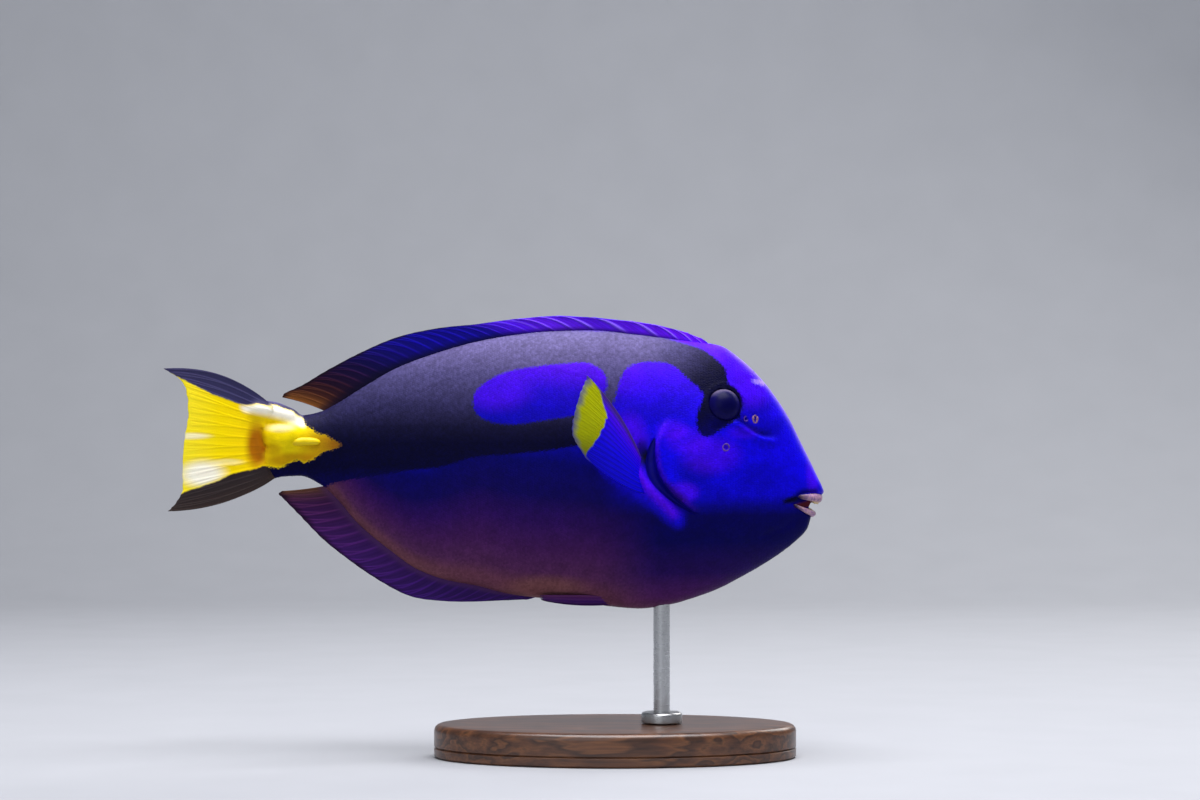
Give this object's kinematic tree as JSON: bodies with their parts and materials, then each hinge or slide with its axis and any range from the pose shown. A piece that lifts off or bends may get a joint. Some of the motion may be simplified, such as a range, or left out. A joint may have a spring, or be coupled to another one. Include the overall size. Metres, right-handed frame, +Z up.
{
  "type": "regal blue tang",
  "caption": "Still, life-size display model of a deep-bodied blue reef fish with a yellow tail, swimming with its tail swung to one side, held on one rod above a flat oval base.",
  "frame": {"origin": "middle of the flat underside of the oval stand base", "axes": "+X towards the fish's snout, +Z up, so the fish's right side faces -Y"},
  "size_m": [0.2378, 0.0864, 0.1606],
  "materials": {
    "skin": "satin blue skin with a black pattern",
    "fins": "satin violet blue with a dark edge",
    "tail": "satin yellow",
    "lips": "satin pale pink",
    "eyes": "wet gloss",
    "stand_wood": "dark oiled walnut",
    "stand_metal": "satin brushed"
  },
  "bodies": {
    "root": {"head": "skin", "trunk": "skin", "tail_stalk": "skin", "gill_cover_right": "skin", "gill_cover_left": "skin", "lip_upper": "lips", "lip_lower": "lips", "eye_right": "eyes", "eye_left": "eyes", "dorsal_fin_spiny": "fins", "dorsal_fin_soft": "fins", "anal_fin": "fins", "tail_fin": "tail", "pectoral_fin_right": "tail", "pectoral_fin_left": "tail", "pelvic_fin_right": "fins", "pelvic_fin_left": "fins", "tail_spine_right": "tail", "tail_spine_left": "tail", "stand_base": "stand_wood", "stand_collar": "stand_metal", "stand_rod": "stand_metal"}
  },
  "joints": []
}
